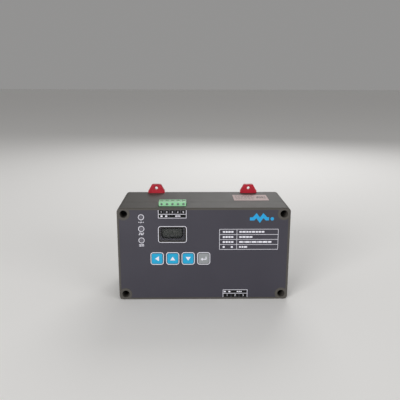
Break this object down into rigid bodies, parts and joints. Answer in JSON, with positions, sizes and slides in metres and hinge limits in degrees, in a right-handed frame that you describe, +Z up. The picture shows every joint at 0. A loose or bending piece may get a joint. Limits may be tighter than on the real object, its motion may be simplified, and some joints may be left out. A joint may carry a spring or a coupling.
{
  "type": "panel meter",
  "caption": "Box-shaped mains monitoring meter for a 35 mm rail, with a display, indicators, keys, a plug-in terminal and sprung latches.",
  "frame": {"origin": "centre of the seat that lies on the mounting rail", "axes": "+X to the right seen from the front, +Y out of the back towards the rail, +Z up"},
  "size_m": [0.16, 0.0703, 0.0991],
  "materials": {
    "housing": "fine moulded texture",
    "overlay": "satin screen-printed film",
    "lens": "tinted clear",
    "display": "polished",
    "module_board": "solder-masked board",
    "gold_pins": "gold plated",
    "keys": "satin",
    "enter_key": "satin",
    "switches": "moulded",
    "board": "solder-masked board",
    "steel_screws": "zinc plated",
    "light_pipe": "clear",
    "leds": "moulded",
    "chips": "moulded epoxy",
    "ferrite": "ground ferrite",
    "winding": "taped winding",
    "relays": "moulded",
    "capacitors": "sleeved",
    "terminal": "moulded polyamide",
    "tinned": "tin plated",
    "cages": "nickel-plated brass",
    "inserts": "knurled brass",
    "latches": "moulded polyamide",
    "springs": "spring wire",
    "label": "printed paper"
  },
  "bodies": {
    "housing": {"base_shell": "housing", "front_cover": "housing", "overlay_film": "overlay", "display_lens": "lens", "display_glass": "display", "display_board": "module_board", "display_pins": "gold_pins", "key_switches": "switches", "front_board": "board", "main_board": "board", "front_board_screws": "steel_screws", "main_board_screws": "steel_screws", "cover_screws": "steel_screws", "indicator_lens_power": "light_pipe", "indicator_lens_test": "light_pipe", "indicator_lens_link": "light_pipe", "indicator_leds": "leds", "controller_chip": "chips", "interface_chips": "chips", "supply_module": "chips", "board_link": "chips", "transformer_core": "ferrite", "transformer_winding": "winding", "relays": "relays", "capacitors": "capacitors", "supply_header": "terminal", "measure_header": "terminal", "supply_header_pins": "tinned", "measure_header_pins": "tinned", "cover_inserts": "inserts", "latch_spring_left": "springs", "latch_spring_right": "springs", "serial_label": "label"},
    "key_back": {"key_back": "keys", "switch_plunger_back": "switches"},
    "key_up": {"key_up": "keys", "switch_plunger_up": "switches"},
    "key_down": {"key_down": "keys", "switch_plunger_down": "switches"},
    "key_enter": {"key_enter": "enter_key", "switch_plunger_enter": "switches"},
    "supply_plug": {"supply_plug": "terminal", "plug_contacts": "tinned"},
    "clamp_screw_1": {"clamp_screw_1": "steel_screws"},
    "clamp_cage_1": {"clamp_cage_1": "cages"},
    "clamp_screw_2": {"clamp_screw_2": "steel_screws"},
    "clamp_cage_2": {"clamp_cage_2": "cages"},
    "clamp_screw_3": {"clamp_screw_3": "steel_screws"},
    "clamp_cage_3": {"clamp_cage_3": "cages"},
    "clamp_screw_4": {"clamp_screw_4": "steel_screws"},
    "clamp_cage_4": {"clamp_cage_4": "cages"},
    "clamp_screw_5": {"clamp_screw_5": "steel_screws"},
    "clamp_cage_5": {"clamp_cage_5": "cages"},
    "latch_left": {"latch_left": "latches"},
    "latch_right": {"latch_right": "latches"}
  },
  "joints": [
    {"name": "back_press", "type": "slide", "parent": "housing", "child": "key_back", "axis": [0, 1, 0], "range_m": [0, 0.0003], "stiffness_N_per_m": 600, "springref_m": -0.0005},
    {"name": "up_press", "type": "slide", "parent": "housing", "child": "key_up", "axis": [0, 1, 0], "range_m": [0, 0.0003], "stiffness_N_per_m": 600, "springref_m": -0.0005},
    {"name": "down_press", "type": "slide", "parent": "housing", "child": "key_down", "axis": [0, 1, 0], "range_m": [0, 0.0003], "stiffness_N_per_m": 600, "springref_m": -0.0005},
    {"name": "enter_press", "type": "slide", "parent": "housing", "child": "key_enter", "axis": [0, 1, 0], "range_m": [0, 0.0003], "stiffness_N_per_m": 600, "springref_m": -0.0005},
    {"name": "plug_pull", "type": "slide", "parent": "housing", "child": "supply_plug", "axis": [0, 0, 1], "range_m": [0, 0.02]},
    {"name": "screw_turn_1", "type": "hinge", "parent": "supply_plug", "child": "clamp_screw_1", "pos_m": [-0.03926, -0.055, 0.0467], "axis": [0, 1, 0], "range_deg": [0, 1728]},
    {"name": "cage_slide_1", "type": "slide", "parent": "supply_plug", "child": "clamp_cage_1", "axis": [0, -1, 0], "range_m": [0, 0.0024]},
    {"name": "screw_turn_2", "type": "hinge", "parent": "supply_plug", "child": "clamp_screw_2", "pos_m": [-0.03418, -0.055, 0.0467], "axis": [0, 1, 0], "range_deg": [0, 1728]},
    {"name": "cage_slide_2", "type": "slide", "parent": "supply_plug", "child": "clamp_cage_2", "axis": [0, -1, 0], "range_m": [0, 0.0024]},
    {"name": "screw_turn_3", "type": "hinge", "parent": "supply_plug", "child": "clamp_screw_3", "pos_m": [-0.0291, -0.055, 0.0467], "axis": [0, 1, 0], "range_deg": [0, 1728]},
    {"name": "cage_slide_3", "type": "slide", "parent": "supply_plug", "child": "clamp_cage_3", "axis": [0, -1, 0], "range_m": [0, 0.0024]},
    {"name": "screw_turn_4", "type": "hinge", "parent": "supply_plug", "child": "clamp_screw_4", "pos_m": [-0.02402, -0.055, 0.0467], "axis": [0, 1, 0], "range_deg": [0, 1728]},
    {"name": "cage_slide_4", "type": "slide", "parent": "supply_plug", "child": "clamp_cage_4", "axis": [0, -1, 0], "range_m": [0, 0.0024]},
    {"name": "screw_turn_5", "type": "hinge", "parent": "supply_plug", "child": "clamp_screw_5", "pos_m": [-0.01894, -0.055, 0.0467], "axis": [0, 1, 0], "range_deg": [0, 1728]},
    {"name": "cage_slide_5", "type": "slide", "parent": "supply_plug", "child": "clamp_cage_5", "axis": [0, -1, 0], "range_m": [0, 0.0024]},
    {"name": "left_release", "type": "slide", "parent": "housing", "child": "latch_left", "axis": [0, 0, 1], "range_m": [0, 0.005], "stiffness_N_per_m": 800, "springref_m": -0.002, "deforming": ["latch_spring_left"]},
    {"name": "right_release", "type": "slide", "parent": "housing", "child": "latch_right", "axis": [0, 0, 1], "range_m": [0, 0.005], "stiffness_N_per_m": 800, "springref_m": -0.002, "deforming": ["latch_spring_right"]}
  ],
  "couplings": [
    {"joint": "screw_turn_1", "follows": "cage_slide_1", "rad_per_m": 12566},
    {"joint": "screw_turn_2", "follows": "cage_slide_2", "rad_per_m": 12566},
    {"joint": "screw_turn_3", "follows": "cage_slide_3", "rad_per_m": 12566},
    {"joint": "screw_turn_4", "follows": "cage_slide_4", "rad_per_m": 12566},
    {"joint": "screw_turn_5", "follows": "cage_slide_5", "rad_per_m": 12566}
  ]
}
